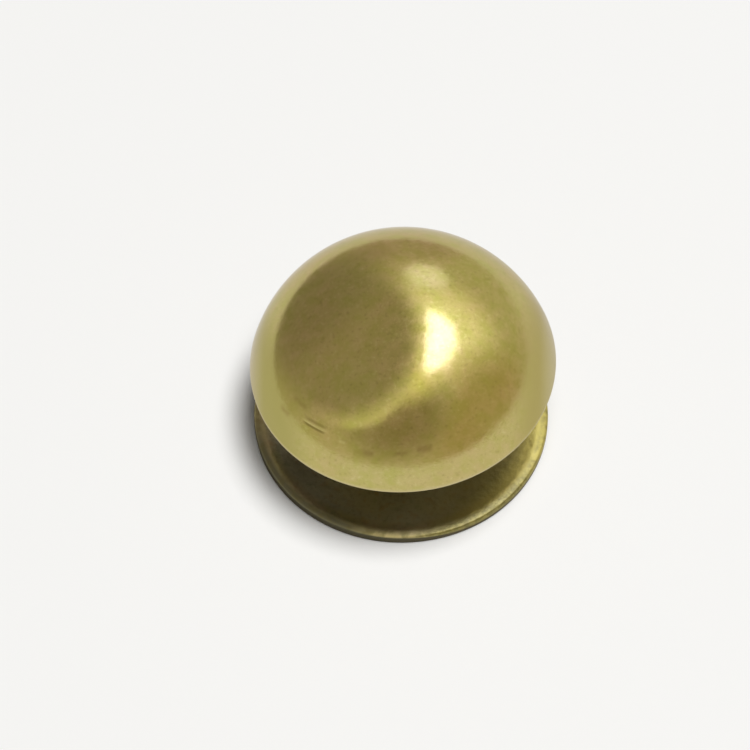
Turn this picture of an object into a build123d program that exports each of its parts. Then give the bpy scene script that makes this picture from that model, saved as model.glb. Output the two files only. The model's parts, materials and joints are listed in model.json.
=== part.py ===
from build123d import *

import os
from math import asin, degrees, radians, sin

# Domed rivet for leather and heavy cloth, in two turned brass pieces.
# The base is a thin round flange with a post. The head is a solid dome with a blind socket
# in its flat underside, pushed onto the post by hand and not yet hammered down, so it leans.
# Millimetres, +Z up. The origin is the centre of the flange's underside, on the post's axis.

# Head
head_diameter = 10.0        # across the widest part of the rim
head_height = 4.0           # flat underside to crown
head_rim_round = 0.15       # round between the flat underside and the dome
head_lean = 2.5             # degrees, towards -X, as the loose socket lets it tip

# Base
flange_diameter = 9.8
flange_thickness = 0.4
flange_roll_width = 0.4     # how far in from the edge the blanking die drew the top face down
flange_roll_slope = 18      # degrees below level, where the roll runs into the edge's round
flange_top_round = 0.1
flange_bottom_round = 0.07
post_diameter = 2.8
post_root_fillet = 0.25
post_tip_chamfer = 0.3

# How the two go together
grip = 2.8                  # clear height between flange and head, for the work to be fastened
post_insertion = 2.2        # how far the post reaches into the head
socket_mouth_chamfer = 0.2
side_clearance = 0.02       # left between post and socket where they come closest
tip_clearance = 0.05        # left between post tip and socket floor where they come closest


# Base post: one section of flange and post, turned about the post's axis.
# The roll and the edge's round are two arcs that run on smoothly from the flat top.
flange_radius = flange_diameter / 2
post_radius = post_diameter / 2
post_top = flange_thickness + grip + post_insertion
roll_sine = sin(radians(flange_roll_slope))
roll_start = flange_radius - flange_roll_width
roll_radius = (flange_roll_width - flange_top_round * (1 - roll_sine)) / roll_sine

with BuildPart() as base_post:
    with BuildSketch(Plane.XZ):
        with BuildLine():
            flat_top = Line((post_radius, flange_thickness), (roll_start, flange_thickness))
            roll = JernArc(flat_top @ 1, flat_top % 1, roll_radius, -flange_roll_slope)
            corner = JernArc(roll @ 1, roll % 1, flange_top_round, flange_roll_slope - 90)
            Polyline(
                corner @ 1,
                (flange_radius, 0),
                (0, 0),
                (0, post_top),
                (post_radius, post_top),
                flat_top @ 0,
            )
        make_face()
    revolve(axis=Axis.Z)
    turned_edges = base_post.edges().filter_by(lambda edge: edge.is_closed)
    flange_edges = turned_edges.group_by(SortBy.RADIUS)[-1].sort_by(Axis.Z)
    post_edges = turned_edges.group_by(SortBy.RADIUS)[0].sort_by(Axis.Z)
    fillet(flange_edges[0], flange_bottom_round)
    fillet(post_edges[0], post_root_fillet)
    chamfer(post_edges[-1], post_tip_chamfer)

# Domed head: it tips about the middle of the length of post that it holds.
# The tip takes up side room there and lifts one side of the post's end towards the socket floor.
head_radius = head_diameter / 2
lean_per_length = sin(radians(head_lean))
socket_radius = post_radius + post_insertion / 2 * lean_per_length + side_clearance
socket_depth = post_insertion + post_radius * lean_per_length + tip_clearance

tip_centre = Plane((0, 0, post_top - post_insertion / 2)).rotated((0, -head_lean, 0))
underside = tip_centre.offset(-post_insertion / 2)
head_section = Plane(underside.origin, x_dir=underside.x_dir, z_dir=-underside.y_dir)

# The dome is part of a sphere that runs on smoothly from the rim's round
rim_round_centre = head_radius - head_rim_round
dome_radius = (rim_round_centre**2 + (head_height - head_rim_round) ** 2 - head_rim_round**2) / (
    2 * (head_height - 2 * head_rim_round)
)
dome_centre = head_height - dome_radius
rim_angle = degrees(asin((head_rim_round - dome_centre) / (dome_radius - head_rim_round)))

with BuildPart() as domed_head:
    with BuildSketch(head_section):
        with BuildLine():
            Polyline(
                (0, head_height),
                (0, socket_depth),
                (socket_radius, socket_depth),
                (socket_radius, socket_mouth_chamfer),
                (socket_radius + socket_mouth_chamfer, 0),
                (rim_round_centre, 0),
            )
            CenterArc((rim_round_centre, head_rim_round), head_rim_round, -90, 90 + rim_angle)
            CenterArc((0, dome_centre), dome_radius, rim_angle, 90 - rim_angle)
        make_face()
    revolve(axis=Axis(underside.origin, underside.z_dir))

# Write each piece to its own file
base_post.part.label = "base_post"
domed_head.part.label = "domed_head"

os.makedirs("parts", exist_ok=True)
export_step(base_post.part, "parts/base_post.step")
export_step(domed_head.part, "parts/domed_head.step")

print(f"dome radius {dome_radius:.3f}, socket radius {socket_radius:.3f}, depth {socket_depth:.3f}")
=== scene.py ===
# %% [markdown]
# A domed brass rivet, as it comes before it is hammered down: a solid head pushed onto the post of a
# thin round flange. Two small pieces of metal are simple shapes, so nearly all of the look is in their
# edges, in the faint unevenness of a tumbled surface, and in what the metal has to reflect.
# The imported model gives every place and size. All lengths in Blender are metres.

import json
import math

import bpy
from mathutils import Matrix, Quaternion, Vector

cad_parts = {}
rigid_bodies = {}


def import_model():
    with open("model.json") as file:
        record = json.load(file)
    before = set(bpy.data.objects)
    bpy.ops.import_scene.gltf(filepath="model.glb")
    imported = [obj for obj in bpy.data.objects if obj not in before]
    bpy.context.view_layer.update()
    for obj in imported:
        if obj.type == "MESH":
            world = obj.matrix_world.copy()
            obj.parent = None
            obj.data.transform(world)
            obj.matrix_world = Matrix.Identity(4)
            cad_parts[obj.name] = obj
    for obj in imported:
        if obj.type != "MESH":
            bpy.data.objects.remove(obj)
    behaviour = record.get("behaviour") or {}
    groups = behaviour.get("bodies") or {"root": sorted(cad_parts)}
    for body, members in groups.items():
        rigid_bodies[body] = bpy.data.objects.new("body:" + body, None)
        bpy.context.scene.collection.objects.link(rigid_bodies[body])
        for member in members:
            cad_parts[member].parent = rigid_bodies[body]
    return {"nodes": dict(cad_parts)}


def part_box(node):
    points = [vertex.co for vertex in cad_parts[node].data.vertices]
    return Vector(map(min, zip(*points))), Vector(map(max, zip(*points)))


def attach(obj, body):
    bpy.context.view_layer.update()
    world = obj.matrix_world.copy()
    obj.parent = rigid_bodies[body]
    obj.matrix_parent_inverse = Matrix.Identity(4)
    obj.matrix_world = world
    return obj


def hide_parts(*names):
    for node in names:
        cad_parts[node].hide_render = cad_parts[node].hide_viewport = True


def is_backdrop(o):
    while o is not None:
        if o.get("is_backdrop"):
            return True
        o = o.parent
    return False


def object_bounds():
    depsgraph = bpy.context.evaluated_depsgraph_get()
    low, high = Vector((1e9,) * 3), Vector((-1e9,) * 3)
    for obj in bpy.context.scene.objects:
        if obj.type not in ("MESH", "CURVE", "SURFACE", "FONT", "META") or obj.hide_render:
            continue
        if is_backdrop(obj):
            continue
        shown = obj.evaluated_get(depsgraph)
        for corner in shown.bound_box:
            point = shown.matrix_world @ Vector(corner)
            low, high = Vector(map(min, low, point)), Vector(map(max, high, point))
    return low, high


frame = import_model()
cad_low, cad_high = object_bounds()
MM = 0.001

for name in sorted(frame["nodes"]):
    low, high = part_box(name)
    print(name, "from", [round(x / MM, 2) for x in low], "to", [round(x / MM, 2) for x in high], "mm")

# %% [markdown]
# The base's box gives the flange's width and the post's top. The head leans in its box, and a box cannot
# tell how thick the flange is inside it or how large a rounded edge is, so those sizes are named here, in
# millimetres, as on a drawing.

# %% Sizes
base_low, base_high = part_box("base_post")
head_low, head_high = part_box("domed_head")

flange_radius = (base_high.x - base_low.x) / 2
flange_thickness = 0.4 * MM
flange_roll_width = 0.4 * MM
flange_roll_slope = math.radians(18)
flange_top_round = 0.1 * MM
flange_bottom_round = 0.07 * MM

post_radius = 1.4 * MM
post_top = base_high.z
post_root_fillet = 0.25 * MM
post_tip_chamfer = 0.3 * MM
post_insertion = 2.2 * MM

head_radius = 5.0 * MM
head_height = 4.0 * MM
head_rim_round = 0.15 * MM
head_lean = math.radians(2.5)
socket_radius = 1.468 * MM
socket_depth = 2.311 * MM
socket_mouth_chamfer = 0.2 * MM

tip_centre = Vector((0, 0, post_top - post_insertion / 2))
underside_height = post_top - post_insertion
print("flange radius", round(flange_radius / MM, 3), "head underside at", round(underside_height / MM, 3))
print("the leaning head is", round((head_high.x - head_low.x) / MM, 3), "mm wide in its box")

# %% [markdown]
# Modelling by script is modelling by hand with the selection written down. These helpers clear the
# selection, pick edges or faces by where they are, and leave edit mode again.

# %% Selection helpers
def deselect_all():
    for thing in bpy.context.selected_objects:
        thing.select_set(False)


def select_edges(piece, wanted):
    """Selects the edges whose two ends both answer yes to wanted, and returns how many there are."""
    bpy.ops.object.mode_set(mode="EDIT")
    bpy.ops.mesh.select_mode(type="EDGE")
    bpy.ops.mesh.select_all(action="DESELECT")
    bpy.ops.object.mode_set(mode="OBJECT")
    points = piece.data.vertices
    for edge in piece.data.edges:
        edge.select = all(wanted(points[index].co) for index in edge.vertices)
    found = sum(edge.select for edge in piece.data.edges)
    bpy.ops.object.mode_set(mode="EDIT")
    return found


def select_faces(piece, wanted):
    """Selects the faces that answer yes to wanted, and returns how many there are."""
    bpy.ops.object.mode_set(mode="EDIT")
    bpy.ops.mesh.select_mode(type="FACE")
    bpy.ops.mesh.select_all(action="DESELECT")
    bpy.ops.object.mode_set(mode="OBJECT")
    for face in piece.data.polygons:
        face.select = wanted(face)
    found = sum(face.select for face in piece.data.polygons)
    bpy.ops.object.mode_set(mode="EDIT")
    return found


def at_radius(radius, height, slack=0.002 * MM):
    """A test for points on one circle round the Z axis."""
    return lambda co: abs(co.xy.length - radius) < slack and abs(co.z - height) < slack


def bevel_circle(piece, radius, height, width, segments):
    """Rounds or chamfers the circular edge that has this radius and height."""
    found = select_edges(piece, at_radius(radius, height))
    bpy.ops.mesh.bevel(offset=width, segments=segments, profile=0.5, affect="EDGES")
    bpy.ops.object.mode_set(mode="OBJECT")
    print(piece.name, "bevelled", found, "edges at", round(height / MM, 2), "mm")


def smooth_turned(piece):
    """Smooth shading that keeps the flat faces flat: a face's area decides how much it counts."""
    deselect_all()
    piece.select_set(True)
    bpy.context.view_layer.objects.active = piece
    bpy.ops.object.shade_smooth_by_angle(angle=math.radians(50))
    weigh = piece.modifiers.new("flat faces count more", "WEIGHTED_NORMAL")
    weigh.keep_sharp = True
    bpy.ops.object.modifier_apply(modifier=weigh.name)


print(len(bpy.context.selected_objects), "solids came in selected")

# %% [markdown]
# Both pieces have an edge that was rolled over by a die. A bevel gives one plain round, so where two
# rounds follow each other, or a round meets a dome, the flat face is drawn along the edge's own curve.

# %% A face drawn round a corner
def arc_points(centre, radius, start, end, steps):
    """Points (radius from the axis, height) along an arc, without its first one. Angles are above level."""
    angles = [start + (end - start) * step / steps for step in range(1, steps + 1)]
    return [(centre[0] + radius * math.cos(angle), centre[1] + radius * math.sin(angle)) for angle in angles]


def draw_face(start, points):
    """Draws the selected flat face along a turned profile, step by step. Its last ring stays selected."""
    radius, height = start
    for next_radius, next_height in points:
        bpy.ops.mesh.extrude_region_move(TRANSFORM_OT_translate={"value": (0, 0, next_height - height)})
        widen = next_radius / radius
        bpy.ops.transform.resize(value=(widen, widen, 1), center_override=(0, 0, next_height))
        radius, height = next_radius, next_height
    return radius, height


print("a quarter round in 4 steps has", len(arc_points((0, 0), 1, 0, math.pi / 2, 4)), "new points")

# %% [markdown]
# The base. On the real part the flange and post are one piece: dies squeeze a slug of brass into post and
# flange, and a blanking die trims the flange round. Here a cylinder is the blank. Its top is inset to the
# post's width and pulled up into the post, and then the edges get their rounds. It could also be a
# section spun round the axis, but insets and bevels keep each size where a later change can find it.

# %% Base with post
TURNED_SIDES = 256
EDGE_STEPS = 8

slope = math.sin(flange_roll_slope)
roll_radius = (flange_roll_width - flange_top_round * (1 - slope)) / slope
roll_start = flange_radius - flange_roll_width
wall_top = flange_thickness - roll_radius * (1 - math.cos(flange_roll_slope))
wall_top -= flange_top_round * math.cos(flange_roll_slope)

deselect_all()
bpy.ops.mesh.primitive_cylinder_add(
    vertices=TURNED_SIDES, radius=flange_radius, depth=wall_top, location=(0, 0, wall_top / 2)
)
base = bpy.context.object
base.name = "flange_and_post"
bpy.ops.object.transform_apply(location=True, rotation=True, scale=True)

select_faces(base, lambda face: face.normal.z > 0.9)
corner_centre = (flange_radius - flange_top_round, wall_top)
roll_centre = (roll_start, flange_thickness - roll_radius)
handover = math.pi / 2 - flange_roll_slope
corner = arc_points(corner_centre, flange_top_round, 0, handover, EDGE_STEPS)
roll = arc_points(roll_centre, roll_radius, handover, math.pi / 2, EDGE_STEPS)
radius, height = draw_face((flange_radius, wall_top), corner + roll)
bpy.ops.mesh.inset(thickness=radius - post_radius)
bpy.ops.mesh.extrude_region_move(TRANSFORM_OT_translate={"value": (0, 0, post_top - flange_thickness)})
bpy.ops.object.mode_set(mode="OBJECT")

bevel_circle(base, flange_radius, 0, flange_bottom_round, segments=4)
bevel_circle(base, post_radius, flange_thickness, post_root_fillet, segments=EDGE_STEPS)
bevel_circle(base, post_radius, post_top, post_tip_chamfer, segments=1)
smooth_turned(base)
print(base.name, "has", len(base.data.polygons), "faces")

# %% [markdown]
# The head. A ball cut off below its middle is the blank, and its flat side gets the blind socket. The
# ball's radius follows from the head's width and height and from the small round that breaks its rim.
# A bevel would trip over the ball's own close rings there, so the cut is made where the round starts,
# and the flat face is drawn down round the corner in short steps, as a forming tool would turn it.
# The head is made upright and then tipped about the middle of the length of post inside it.

# %% Domed head
ROUND_STEPS = 10

rim_round_centre = head_radius - head_rim_round
dome_radius = (rim_round_centre**2 + (head_height - head_rim_round) ** 2 - head_rim_round**2) / (
    2 * (head_height - 2 * head_rim_round)
)
dome_centre = underside_height + head_height - dome_radius
round_height = underside_height + head_rim_round
round_start = math.asin((round_height - dome_centre) / (dome_radius - head_rim_round))

deselect_all()
bpy.ops.mesh.primitive_uv_sphere_add(
    segments=TURNED_SIDES, ring_count=180, radius=dome_radius, location=(0, 0, dome_centre)
)
head = bpy.context.object
head.name = "solid_dome"
bpy.ops.object.transform_apply(location=True, rotation=True, scale=True)

bpy.ops.object.mode_set(mode="EDIT")
bpy.ops.mesh.select_all(action="SELECT")
bpy.ops.mesh.bisect(
    plane_co=(0, 0, round_height + head_rim_round * math.sin(round_start)),
    plane_no=(0, 0, 1),
    use_fill=True,
    clear_inner=True,
    threshold=0.0001 * MM,
)
bpy.ops.object.mode_set(mode="OBJECT")

select_faces(head, lambda face: face.normal.z < -0.99 and len(face.vertices) > 4)
rim_start = (dome_radius * math.cos(round_start), round_height + head_rim_round * math.sin(round_start))
rim = arc_points((rim_round_centre, round_height), head_rim_round, round_start, -math.pi / 2, ROUND_STEPS)
draw_face(rim_start, rim)
bpy.ops.mesh.inset(thickness=rim_round_centre - socket_radius)
bpy.ops.mesh.extrude_region_move(TRANSFORM_OT_translate={"value": (0, 0, socket_depth)})
bpy.ops.object.mode_set(mode="OBJECT")
bevel_circle(head, socket_radius, underside_height, socket_mouth_chamfer, segments=1)

bpy.ops.object.mode_set(mode="EDIT")
bpy.ops.mesh.select_all(action="SELECT")
bpy.ops.transform.rotate(value=head_lean, orient_axis="Y", center_override=tip_centre)
bpy.ops.object.mode_set(mode="OBJECT")
smooth_turned(head)
print(head.name, "has", len(head.data.polygons), "faces, dome radius", round(dome_radius / MM, 3), "mm")

# %% [markdown]
# The two pieces take the place of the two CAD solids, whose facets would show in a mirror-like finish.
# Nothing on a rivet of this kind moves before it is set, so both ride on the one body, the root.

# %% Tie the pieces to the model
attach(base, "root")
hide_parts("base_post")

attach(head, "root")
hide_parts("domed_head")
print("pieces on the root body:", base.name, "and", head.name)

# %% [markdown]
# Colours are written as on a paint chart, in sRGB, and Blender's shaders want linear light, so one
# function turns them round. One more adds a node: its settings, then its inputs in their order or by
# name. What it is given as an input is linked if it is a node or a socket, and written there if not.

# %% Colour and node helpers
COLOURS = {"data_type": "RGBA"}
SMOOTH = {"interpolation_type": "SMOOTHSTEP"}


def linear(code, strength=1.0):
    """A linear RGBA colour from an sRGB hex value such as "#B9AD66"."""
    parts = [int(code[place : place + 2], 16) / 255 for place in (1, 3, 5)]
    return [strength * (p / 12.92 if p <= 0.04045 else ((p + 0.055) / 1.055) ** 2.4) for p in parts] + [1.0]


def add_node(tree, kind, settings, *in_order, **by_name):
    """Adds a node, sets its own properties, and fills its inputs in order, by name, or both."""
    node = tree.nodes.new("ShaderNode" + kind)
    for key, value in settings.items():
        setattr(node, key, value)
    sockets = [socket for socket in node.inputs if socket.enabled]
    inputs = list(zip(sockets, in_order))
    for key, value in by_name.items():
        inputs.append((next(socket for socket in sockets if socket.name == key.replace("_", " ")), value))
    for socket, value in inputs:
        if isinstance(value, bpy.types.Node):
            value = next(output for output in value.outputs if output.enabled)
        if isinstance(value, bpy.types.NodeSocket):
            tree.links.new(value, socket)
        else:
            socket.default_value = value
    return node


def new_material(name):
    """An empty material and its node tree."""
    material = bpy.data.materials.new(name)
    material.use_nodes = True
    material.node_tree.nodes.clear()
    return material, material.node_tree


def level_direction(azimuth):
    """A level unit vector. Azimuth 0 is straight back (+Y), and 90 degrees is to the right (+X)."""
    return Vector((math.sin(math.radians(azimuth)), math.cos(math.radians(azimuth)), 0))


def side(tree, place, azimuth, start, full):
    """A mask for one side of a turned piece: 0 up to start metres out that way, and 1 from full."""
    out = add_node(tree, "VectorMath", {"operation": "DOT_PRODUCT"}, place, level_direction(azimuth))
    return add_node(tree, "MapRange", SMOOTH, out, start, full)


print("#808080 is", [round(channel, 3) for channel in linear("#808080")], "in linear light")

# %% [markdown]
# The head's metal. It is yellow brass, about two parts copper to one of zinc, pressed to shape and then
# tumbled in a barrel of small stones. Tumbling leaves a soft mirror with a faint grain. Handling adds a
# thin tarnish: clouds a couple of millimetres wide, greener here and browner there, with a finer mottle
# inside them, and specks where the skin is thicker or rubbed off. The real specks are finer than this
# close view can show, so they are drawn about a tenth of a millimetre wide.

# %% Brass of the head: tarnish
TARNISH_CLOUD = 1.8 * MM
TARNISH_MOTTLE = 0.42 * MM
SPECK = 0.11 * MM

tumbled, tree = new_material("tumbled_yellow_brass")
place = add_node(tree, "TexCoord", {}).outputs["Object"]
clouds = add_node(tree, "TexNoise", {}, Vector=place, Scale=1 / TARNISH_CLOUD, Detail=3.0)
mottle = add_node(tree, "TexNoise", {}, Vector=place, Scale=1 / TARNISH_MOTTLE, Detail=4.0)
grain = add_node(tree, "TexNoise", {}, Vector=place, Scale=1 / SPECK, Detail=3.0)

cloudy = add_node(tree, "MapRange", {}, clouds, 0.4, 0.6)
cloudy = add_node(tree, "Mix", COLOURS, cloudy, linear("#BEB56B"), linear("#C2AF72"))
mottled = add_node(tree, "MapRange", {}, mottle, 0.35, 0.65)
mottled = add_node(tree, "Mix", COLOURS, mottled, linear("#B1AB60"), linear("#C7B480"))
colour = add_node(tree, "Mix", COLOURS, 0.5, cloudy, mottled)

dark_specks = add_node(tree, "MapRange", {}, grain, 0.58, 0.72, 0.0, 0.28)
colour = add_node(tree, "Mix", COLOURS, dark_specks, colour, linear("#8A7A48"))
pale_specks = add_node(tree, "MapRange", {}, grain, 0.42, 0.28, 0.0, 0.28)
colour = add_node(tree, "Mix", COLOURS, pale_specks, colour, linear("#DCD29A"))

# Near the rim, the head's left and right flanks are drawn a little darker.
left_flank = side(tree, place, -105, 3.6 * MM, 4.5 * MM)
colour = add_node(tree, "Mix", COLOURS, left_flank, colour, linear("#ABA260"))
right_flank = side(tree, place, 95, 3.6 * MM, 4.5 * MM)
colour = add_node(tree, "Mix", COLOURS, right_flank, colour, linear("#AFA262"))
# Painted sheen: the head is lighter in a band along its far left and right edges.
sideways = add_node(tree, "Math", {"operation": "ABSOLUTE"}, add_node(tree, "SeparateXYZ", {}, place))
painted_edge_sheen = add_node(tree, "MapRange", {}, sideways, 4.45 * MM, 4.9 * MM)
colour = add_node(tree, "Mix", COLOURS, painted_edge_sheen, colour, linear("#BDB384"))
print(tumbled.name, "has clouds of", TARNISH_CLOUD / MM, "mm and a mottle of", TARNISH_MOTTLE / MM, "mm")

# %% [markdown]
# A tool slipped along the head's front left. It ploughed a pair of shallow grooves with a bright ridge
# between them and left a small pale nick beside them. A few brown stains sit near them and low on the
# front, broken up by the mottle. Each mark is a stroke: a short line round the dome that fades at both
# ends. Its level is a height measured square to the strokes, which climb a little towards the left.

# %% Strokes round the dome
STROKE_AXIS = Vector((-0.08, 0.06, 1))


def stroke(tree, place, azimuth, half_turn, level, half_width):
    """A mask for a short line round the dome, from its middle, half its turn in degrees and its level."""
    flat = add_node(tree, "VectorMath", {"operation": "MULTIPLY"}, place, (1, 1, 0))
    flat = add_node(tree, "VectorMath", {"operation": "NORMALIZE"}, flat)
    along = add_node(tree, "VectorMath", {"operation": "DOT_PRODUCT"}, flat, level_direction(azimuth))
    end, full = math.cos(math.radians(1.3 * half_turn)), math.cos(math.radians(0.6 * half_turn))
    along = add_node(tree, "MapRange", SMOOTH, along, end, full)
    across = add_node(tree, "VectorMath", {"operation": "DOT_PRODUCT"}, place, STROKE_AXIS)
    across = add_node(tree, "Math", {"operation": "SUBTRACT"}, across, level)
    across = add_node(tree, "Math", {"operation": "ABSOLUTE"}, across)
    across = add_node(tree, "MapRange", SMOOTH, across, half_width, 0.0)
    return add_node(tree, "Math", {"operation": "MULTIPLY"}, along, across)


GROOVES = [(-141, 5, 4.65 * MM, 0.07 * MM), (-141, 5, 4.82 * MM, 0.08 * MM)]
RIDGES = [(-141, 6, 4.73 * MM, 0.06 * MM), (-155, 1.5, 4.6 * MM, 0.08 * MM)]
STAINS = [
    # azimuth, half turn, level, half width
    (-130, 4, 5.05 * MM, 0.12 * MM),
    (-125, 3, 4.5 * MM, 0.15 * MM),
    (-165, 4, 4.4 * MM, 0.2 * MM),
    (180, 3, 4.45 * MM, 0.1 * MM),
    (170, 3, 4.5 * MM, 0.2 * MM),
]
grooves = stroke(tree, place, *GROOVES[0])
upper_groove = add_node(tree, "Math", {"operation": "MULTIPLY"}, stroke(tree, place, *GROOVES[1]), 0.6)
grooves = add_node(tree, "Math", {"operation": "ADD"}, grooves, upper_groove)
ridges = add_node(tree, "Math", {"operation": "ADD"}, *[stroke(tree, place, *ridge) for ridge in RIDGES])

# The grooves are drawn darker, and the ridges and the nick lighter.
groove_darkening = add_node(tree, "Math", {"operation": "MULTIPLY"}, grooves, 0.7)
colour = add_node(tree, "Mix", COLOURS, groove_darkening, colour, linear("#7A6C36"))
ridge_lightening = add_node(tree, "Math", {"operation": "MULTIPLY"}, ridges, 0.35)
colour = add_node(tree, "Mix", COLOURS, ridge_lightening, colour, linear("#DDD59A"))
patchy = add_node(tree, "MapRange", {}, mottle, 0.35, 0.6, 0.15, 0.45)
for stain in STAINS:
    brown = add_node(tree, "Math", {"operation": "MULTIPLY"}, stroke(tree, place, *stain), patchy)
    colour = add_node(tree, "Mix", COLOURS, brown, colour, linear("#8C7440"))
print(len(GROOVES), "grooves,", len(RIDGES), "ridges and", len(STAINS), "stains")

# %% [markdown]
# The small round at the rim carries a painted highlight, a pale line that is stronger at the left, and
# the flat underside, which nothing reaches, keeps a grey skin. Both are bands along the head's own leaning
# axis. The finish ends in three bumps, one on the other: dents of the tumbling, grain, and the tool marks.

# %% Brass of the head: rim and surface
head_axis = Vector((-math.sin(head_lean), 0, math.cos(head_lean)))
underside_level = tip_centre.dot(head_axis) - post_insertion / 2
up_head = add_node(tree, "VectorMath", {"operation": "DOT_PRODUCT"}, place, head_axis)
above = add_node(tree, "MapRange", {}, up_head, underside_level + 0.02 * MM, underside_level + 0.08 * MM)
# Painted highlight: a pale line on the rim's round, stronger at the left.
painted_rim_highlight = add_node(tree, "MapRange", {}, up_head, underside_level + 0.26 * MM, underside_level + 0.14 * MM)
painted_rim_highlight = add_node(tree, "Math", {"operation": "MULTIPLY"}, painted_rim_highlight, above)
left_more = add_node(tree, "MapRange", {}, side(tree, place, -130, -4.0 * MM, 2.0 * MM), 0.0, 1.0, 0.2, 1.0)
painted_rim_highlight = add_node(tree, "Math", {"operation": "MULTIPLY"}, painted_rim_highlight, left_more)
colour = add_node(tree, "Mix", COLOURS, painted_rim_highlight, colour, linear("#C6BA8A"))
hidden = add_node(tree, "MapRange", {}, up_head, underside_level + 0.06 * MM, underside_level + 0.01 * MM)
colour = add_node(tree, "Mix", COLOURS, hidden, colour, linear("#A9A18E"))

dents = add_node(tree, "Bump", {}, Strength=0.2, Distance=0.02 * MM, Height=mottle)
pores = add_node(tree, "Bump", {}, Strength=0.25, Distance=0.004 * MM, Height=grain, Normal=dents)
raised = add_node(tree, "Math", {"operation": "SUBTRACT"}, ridges, grooves)
ploughed = add_node(tree, "Bump", {}, Strength=0.35, Distance=0.008 * MM, Height=raised, Normal=pores)
roughness = add_node(tree, "MapRange", {}, mottle, 0.3, 0.7, 0.13, 0.19)
scuffs = add_node(tree, "MapRange", {}, side(tree, place, 85, 1.8 * MM, 4.0 * MM), 0.0, 1.0, 0.0, 0.07)
roughness = add_node(tree, "Math", {"operation": "ADD"}, roughness, scuffs)
surface = add_node(
    tree,
    "BsdfPrincipled",
    {},
    Base_Color=colour,
    Metallic=1.0,
    Specular_Tint=linear("#EAE5E0"),
    Roughness=roughness,
    Normal=ploughed,
)
add_node(tree, "OutputMaterial", {}, Surface=surface)
head.data.materials.append(tumbled)
print(tumbled.name, "is on", head.name)

# %% [markdown]
# The base's metal is the same brass, but pressed flat and left as the dies made it, so it is duller
# than the head. It has a brown skin with a grain of about a sixth of a millimetre, blotched where dust
# and oil have sat. Light falling past the head onto the right is painted in: a yellower tone across the
# right side, and a bright painted pool of light on the outer ring there.

# %% Brass of the base: skin
PRESSED_CLOUD = 1.2 * MM
DUST_BLOTCH = 0.3 * MM
PRESSED_GRAIN = 0.12 * MM

pressed, tree = new_material("dull_pressed_brass")
place = add_node(tree, "TexCoord", {}).outputs["Object"]
clouds = add_node(tree, "TexNoise", {}, Vector=place, Scale=1 / PRESSED_CLOUD, Detail=3.0)
blotches = add_node(tree, "TexNoise", {}, Vector=place, Scale=1 / DUST_BLOTCH, Detail=3.0)
grain = add_node(tree, "TexNoise", {}, Vector=place, Scale=1 / PRESSED_GRAIN, Detail=4.0)

flat = add_node(tree, "VectorMath", {"operation": "MULTIPLY"}, place, (1, 1, 0))
from_axis = add_node(tree, "VectorMath", {"operation": "LENGTH"}, flat)
height = add_node(tree, "SeparateXYZ", {}, place).outputs["Z"]

cloudy = add_node(tree, "MapRange", {}, clouds, 0.4, 0.6)
skin = add_node(tree, "Mix", COLOURS, cloudy, linear("#ADA578"), linear("#AA9C7C"))
sheltered = add_node(tree, "MapRange", {}, from_axis, flange_radius - 0.3 * MM, flange_radius - 0.6 * MM)
skin = add_node(tree, "Mix", COLOURS, sheltered, skin, linear("#ADAB9A"))
post_foot = post_radius + 0.3 * MM
on_post = add_node(tree, "MapRange", {}, from_axis, post_foot, post_radius)
skin = add_node(tree, "Mix", COLOURS, on_post, skin, linear("#BBAE6E"))

dusty = add_node(tree, "MapRange", {}, blotches, 0.58, 0.7, 0.0, 0.35)
skin = add_node(tree, "Mix", COLOURS, dusty, skin, linear("#A08A62"))
mossy = add_node(tree, "MapRange", {}, blotches, 0.42, 0.3, 0.0, 0.35)
skin = add_node(tree, "Mix", COLOURS, mossy, skin, linear("#86906C"))
rough_spots = add_node(tree, "MapRange", {}, grain, 0.5, 0.75, 0.0, 0.3)
skin = add_node(tree, "Mix", COLOURS, rough_spots, skin, linear("#6A6244"))

# Painted light: the right side of the flange top is tinted yellower, and its outer ring gets a bright pool.
painted_light_right = side(tree, place, 110, 1.5 * MM, 3.8 * MM)
painted_light_right = add_node(tree, "Math", {"operation": "MULTIPLY"}, painted_light_right, 0.8)
skin = add_node(tree, "Mix", COLOURS, painted_light_right, skin, linear("#ACA05C"))
outer_ring = add_node(tree, "MapRange", {}, from_axis, flange_radius - 0.9 * MM, flange_radius - 0.4 * MM)
painted_light_pool = side(tree, place, 100, 2.0 * MM, 4.4 * MM)
painted_light_pool = add_node(tree, "Math", {"operation": "MULTIPLY"}, outer_ring, painted_light_pool)
inner_edge, outer_edge = flange_radius - 0.5 * MM, flange_radius - 0.2 * MM
amount = add_node(tree, "MapRange", {}, from_axis, inner_edge, outer_edge, 0.7, 0.2)
painted_light_pool = add_node(tree, "Math", {"operation": "MULTIPLY"}, painted_light_pool, amount)
skin = add_node(tree, "Mix", COLOURS, painted_light_pool, skin, linear("#EEE080"))
print(pressed.name, "has a grain of", PRESSED_GRAIN / MM, "mm")

# %% [markdown]
# The flange's edge tells how it was made. The blanking die rolled the upper corner over and then sheared
# the wall. The wall's near-black green is partly dirt that it holds and partly painted shade, the contact
# shadow it reflects, in a band that is lower at the right. The rolled lip stands out: a painted highlight
# makes it bright at the front, painted shade darkens it at the left, and fine scratches dull it at the right
# front.

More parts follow.
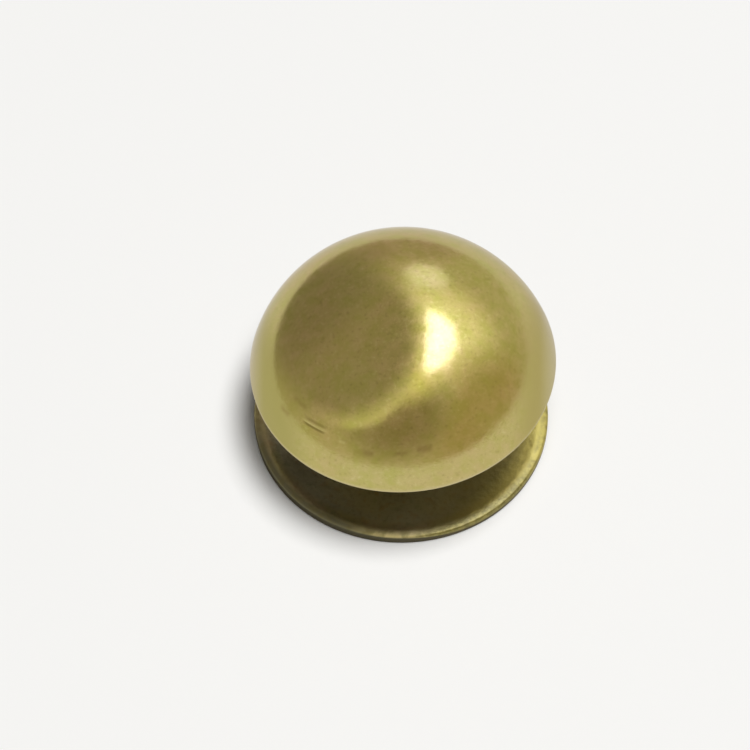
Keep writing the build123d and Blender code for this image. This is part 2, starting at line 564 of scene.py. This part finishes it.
# %% Brass of the base: lip and wall
# Painted highlight on the lip at the front, and painted shade on it at the left.
lip = add_node(tree, "MapRange", {}, from_axis, flange_radius - 0.3 * MM, flange_radius - 0.15 * MM)
painted_highlight_front = side(tree, place, 180, 3.8 * MM, 4.7 * MM)
painted_highlight_front = add_node(tree, "Math", {"operation": "MULTIPLY"}, lip, painted_highlight_front)
skin = add_node(tree, "Mix", COLOURS, painted_highlight_front, skin, linear("#D2C694"))
painted_shade_left = side(tree, place, -133, 3.6 * MM, 4.5 * MM)
painted_shade_left = add_node(tree, "Math", {"operation": "MULTIPLY"}, lip, painted_shade_left)
skin = add_node(tree, "Mix", COLOURS, painted_shade_left, skin, linear("#77745F"))
scratched_right = side(tree, place, 145, 4.0 * MM, 4.7 * MM)
scratched_right = add_node(tree, "Math", {"operation": "MULTIPLY"}, lip, scratched_right)
skin = add_node(tree, "Mix", COLOURS, scratched_right, skin, linear("#9D955E"))
scratches = add_node(tree, "MapRange", {}, grain, 0.44, 0.6, 0.0, 0.6)
scratches = add_node(tree, "Math", {"operation": "MULTIPLY"}, scratched_right, scratches)
skin = add_node(tree, "Mix", COLOURS, scratches, skin, linear("#6E683E"))
nicks = add_node(tree, "MapRange", {}, blotches, 0.45, 0.62, 0.0, 0.55)
nicks = add_node(tree, "Math", {"operation": "MULTIPLY"}, lip, nicks)
skin = add_node(tree, "Mix", COLOURS, nicks, skin, linear("#7C7550"))

# The outer wall is painted near-black green: partly its dirt, partly painted shade of the contact shadow it
# reflects, lower at the right.
outside = add_node(tree, "MapRange", {}, from_axis, flange_radius - 0.18 * MM, flange_radius - 0.12 * MM)
shade_eases_right = side(tree, place, 120, 2.5 * MM, 4.5 * MM)
dirt_and_shade_top = add_node(tree, "Math", {"operation": "MULTIPLY_ADD"}, shade_eases_right, 0.15 * MM, height)
below = add_node(tree, "MapRange", {}, dirt_and_shade_top, flange_thickness - 0.08 * MM, flange_thickness - 0.12 * MM)
wall = add_node(tree, "Math", {"operation": "MULTIPLY"}, outside, below)
skin = add_node(tree, "Mix", COLOURS, wall, skin, linear("#5A5644"))

polish = add_node(tree, "MapRange", {}, clouds, 0.3, 0.7, 0.28, 0.36)
scuffs = add_node(tree, "MapRange", {}, side(tree, place, 110, -1.0 * MM, 2.0 * MM), 0.0, 1.0, 0.18, 0.05)
scuffs = add_node(tree, "Math", {"operation": "MULTIPLY"}, lip, scuffs)
polish = add_node(tree, "Math", {"operation": "ADD"}, polish, scuffs)
rough_grain = add_node(tree, "Bump", {}, Strength=0.5, Distance=0.006 * MM, Height=grain)
pitted = add_node(tree, "Bump", {}, Strength=0.7, Distance=0.02 * MM, Height=blotches, Normal=rough_grain)
surface = add_node(
    tree,
    "BsdfPrincipled",
    {},
    Base_Color=skin,
    Metallic=1.0,
    Specular_Tint=linear("#D6D0C8"),
    Roughness=polish,
    Normal=pitted,
)
add_node(tree, "OutputMaterial", {}, Surface=surface)
base.data.materials.append(pressed)
print(pressed.name, "is on", base.name)

# %% [markdown]
# The stage is a pale board that is wider than the view. It is a plain diffuse white, so that it takes
# the rivet's soft shadow and gives the metal its brightest surroundings from below.

# %% Board
BOARD_RADIUS = 2.0

deselect_all()
bpy.ops.mesh.primitive_circle_add(vertices=64, radius=BOARD_RADIUS, fill_type="NGON", location=(0, 0, 0))
floor = bpy.context.object
floor.name = "floor"
board, tree = new_material("matt_white_board")
paint = add_node(tree, "BsdfDiffuse", {}, Color=linear("#FAFAF9"))
add_node(tree, "OutputMaterial", {}, Surface=paint)
floor.data.materials.append(board)
floor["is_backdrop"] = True
print(floor.name, "is", 2 * BOARD_RADIUS, "m across")

# %% [markdown]
# Light is split in two, as in product photography. Two round softboxes overhead light the board and cast
# the short, double-edged shadow. Metal has no colour of its own to light: it shows what stands round it,
# and that is the tent's job. So the softboxes are left out of reflections, and the tent lights nothing.
# A softbox's share is its part of the plain level at which white paper renders as white: a disc of
# radiance L and area A gives the board L * A * height^2 / reach^4, and its power is L * A * pi.

# %% Softboxes
LAMP_HEIGHT = 1.0


def softbox(name, across, along, half_angle, share):
    """A round lamp facing down, placed in metres per metre of height, with its part of the light."""
    reach = LAMP_HEIGHT * math.sqrt(1 + across**2 + along**2)
    face = bpy.data.lights.new(name, "AREA")
    face.shape = "DISK"
    face.size = 2 * LAMP_HEIGHT * math.tan(math.radians(half_angle))
    face.energy = share * (math.pi * reach**2 / LAMP_HEIGHT) ** 2
    lamp = bpy.data.objects.new(name, face)
    lamp.location = (across * LAMP_HEIGHT, along * LAMP_HEIGHT, LAMP_HEIGHT)
    lamp.visible_camera = False
    lamp.visible_glossy = False
    bpy.context.scene.collection.objects.link(lamp)
    print(name, "gives", share, "of the light with", round(face.energy, 2), "W")


softbox("window_side_softbox", across=0.2, along=0.03, half_angle=11, share=0.57)
softbox("front_softbox", across=0.13, along=-0.2, half_angle=13, share=0.37)

# %% [markdown]
# The world gives a faint even fill that keeps the shadow from going black, and with the two softboxes
# its share makes up the whole of the light. To the camera and to
# reflections it is a plain pale studio, at strength 1, which is white.

# %% World
FILL_STRENGTH = 0.06

world = bpy.data.worlds.new("pale_studio")
bpy.context.scene.world = world
world.use_nodes = True
tree = world.node_tree
tree.nodes.clear()
ray = add_node(tree, "LightPath", {}).outputs
seen = add_node(tree, "Math", {"operation": "MAXIMUM"}, ray["Is Camera Ray"], ray["Is Glossy Ray"])
seen = add_node(tree, "Math", {"operation": "MAXIMUM"}, seen, ray["Is Transmission Ray"])
fill = add_node(tree, "Background", {}, linear("#F5EAD2"), FILL_STRENGTH)
pale = add_node(tree, "Background", {}, linear("#F5F5F5"), 1.0)
backing = add_node(tree, "MixShader", {}, seen, fill, pale)
add_node(tree, "OutputWorld", {}, Surface=backing)
print(world.name, "gives", FILL_STRENGTH, "of the light")

# %% [markdown]
# The tent is a large glowing ball round the rivet that only reflections see. It could be a set of cards
# and lamps, but then each would need its own place, size and soft edge: here a card is one line of a
# list, a round patch painted on the ball towards an azimuth and elevation, over the cards before it. The
# places are given mostly in steps of five degrees. The ball's centre stands to the right, so its
# wall meets the board sooner on the left, and there less of the board shows in the head's rim.

# %% Tent of greys
TENT_RADIUS = 50 * MM
TENT_CENTRE = Vector((27 * MM, 0, 0))
EYE = Vector((0, 0, 4 * MM))
ROOM = linear("#D8D4BC")
CARDS = [
    # name, azimuth, elevation, half width and soft edge in degrees, colour and strength
    ("glow round the window", 100, 70, 20, 40, linear("#FFFFEC", 1.4)),
    ("dim wall behind", 0, 5, 10, 15, linear("#C8BCB0")),
    ("dim right front", 120, 5, 20, 35, linear("#C8BC98")),
    ("person in front", 190, 40, 20, 30, linear("#A89C88")),
    ("light over the person", 190, 75, 15, 25, linear("#FFFFD0", 1.4)),
    ("white card on the left", -115, 50, 40, 5, linear("#FFFFE0", 1.1)),
    ("dark flag on the left", -90, 50, 40, 20, linear("#B0A898")),
    ("dark corner behind left", -50, 15, 10, 40, linear("#9C9488")),
    ("small lamp behind", 15, 38, 5, 10, linear("#F0F0FF", 1.6)),
]


def direction(azimuth, elevation):
    """A unit vector from a level direction and an elevation in degrees."""
    e = math.radians(elevation)
    return level_direction(azimuth) * math.cos(e) + Vector((0, 0, math.sin(e)))


deselect_all()
bpy.ops.mesh.primitive_ico_sphere_add(subdivisions=6, radius=TENT_RADIUS, location=TENT_CENTRE)
tent = bpy.context.object
tent.name = "light_tent"
tent.visible_camera = False
tent.visible_diffuse = False
tent.visible_shadow = False
cloth, tree = new_material("tent_greys")
cloth.cycles.emission_sampling = "NONE"
place = add_node(tree, "TexCoord", {}).outputs["Object"]
look = add_node(tree, "VectorMath", {"operation": "ADD"}, place, TENT_CENTRE - EYE)
look = add_node(tree, "VectorMath", {"operation": "NORMALIZE"}, look)
tone = ROOM
for name, azimuth, elevation, half_width, soft, card in CARDS:
    toward = direction(azimuth, elevation)
    nearness = add_node(tree, "VectorMath", {"operation": "DOT_PRODUCT"}, look, toward)
    edge, core = math.cos(math.radians(half_width + soft)), math.cos(math.radians(half_width))
    patch = add_node(tree, "MapRange", SMOOTH, nearness, edge, core)
    tone = add_node(tree, "Mix", COLOURS, patch, tone, card)
print(tent.name, "has", len(CARDS), "cards")

# %% [markdown]
# The window is the one bright, sharp thing, and its image is the highlight on the dome. It lies flat
# above the rivet like a skylight, so its shape is drawn in metres per metre of height: straight along
# its left side and bowed out on the right, with a soft curtain edge there. Daylight is a little bluer
# than the room, and that keeps the highlight's fringe from turning orange.

# %% Window
WINDOW_LEFT = 0.27
WINDOW_WIDTH = 0.35
WINDOW_MIDDLE = -0.05
WINDOW_HALF_LENGTH = 0.35
WINDOW_LEAN = 0.05
WINDOW_LIGHT = linear("#E0E0FF", 5.0)
CURTAIN_START = 1.0
CURTAIN_END = 1.5
FRAME_BLUR = 0.05

level = add_node(tree, "SeparateXYZ", {}, look)
rise = add_node(tree, "Math", {"operation": "MAXIMUM"}, level.outputs["Z"], 0.01)
across = add_node(tree, "Math", {"operation": "DIVIDE"}, level.outputs["X"], rise)
along = add_node(tree, "Math", {"operation": "DIVIDE"}, level.outputs["Y"], rise)
wide = add_node(tree, "MapRange", {"clamp": False}, across, WINDOW_LEFT, WINDOW_LEFT + WINDOW_WIDTH)
leaning = add_node(tree, "Math", {"operation": "MULTIPLY_ADD"}, wide, -WINDOW_LEAN, along)
window_end = WINDOW_MIDDLE + WINDOW_HALF_LENGTH
long = add_node(tree, "MapRange", {"clamp": False}, leaning, WINDOW_MIDDLE, window_end)
bow = add_node(tree, "CombineXYZ", {}, wide, long)
bow = add_node(tree, "VectorMath", {"operation": "LENGTH"}, bow)
curtain = add_node(tree, "MapRange", SMOOTH, bow, CURTAIN_END, CURTAIN_START)
frame_side = add_node(tree, "MapRange", SMOOTH, wide, -FRAME_BLUR, FRAME_BLUR)
pane = add_node(tree, "Math", {"operation": "MULTIPLY"}, curtain, frame_side)
tone = add_node(tree, "Mix", COLOURS, pane, tone, WINDOW_LIGHT)
glow = add_node(tree, "Emission", {}, tone, 1.0)
add_node(tree, "OutputMaterial", {}, Surface=glow)
tent.data.materials.append(cloth)
tent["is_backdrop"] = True
print("window at", WINDOW_LEFT, "to", WINDOW_LEFT + WINDOW_WIDTH, "of its height to the right")

# %% [markdown]
# The camera stands close in front and looks down at about 57 degrees, like someone leaning over a desk,
# with a long lens so that the two discs keep nearly the same width. The shift frames the rivet without
# turning the camera.

# %% Camera
CAMERA_ELEVATION = math.radians(56.6)
CAMERA_ROLL = math.radians(0.5)
CAMERA_DISTANCE = 120 * MM
LENS = 174.5
SENSOR = 36

aim = Vector((0, 0, 1.75 * MM))
back = Vector((0, -math.cos(CAMERA_ELEVATION), math.sin(CAMERA_ELEVATION)))
camera_data = bpy.data.cameras.new("camera")
camera_data.lens = LENS
camera_data.sensor_width = SENSOR
camera_data.shift_x = -0.035
camera_data.shift_y = 0.018
camera_data.clip_start = 0.01
camera_data.clip_end = 10
camera = bpy.data.objects.new("camera", camera_data)
camera.location = aim + back * CAMERA_DISTANCE
camera.rotation_mode = "QUATERNION"
camera.rotation_quaternion = (-back).to_track_quat("-Z", "Y") @ Quaternion((0, 0, 1), CAMERA_ROLL)
bpy.context.scene.collection.objects.link(camera)
bpy.context.scene.camera = camera
bpy.context.scene.view_settings.view_transform = "Standard"
print("the view is", round(SENSOR / LENS * CAMERA_DISTANCE / MM, 1), "mm wide at the rivet")

# %% [markdown]
# The finished pieces must not outgrow the model, so both boxes are printed side by side.

# %% Print the box beside the model's and finish
new_low, new_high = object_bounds()
for axis, start, end, cad_start, cad_end in zip("xyz", new_low, new_high, cad_low, cad_high):
    sizes = [round(value / MM, 3) for value in (start, end, cad_start, cad_end)]
    print(axis, "runs from", sizes[0], "to", sizes[1], "mm, the model from", sizes[2], "to", sizes[3], "mm")
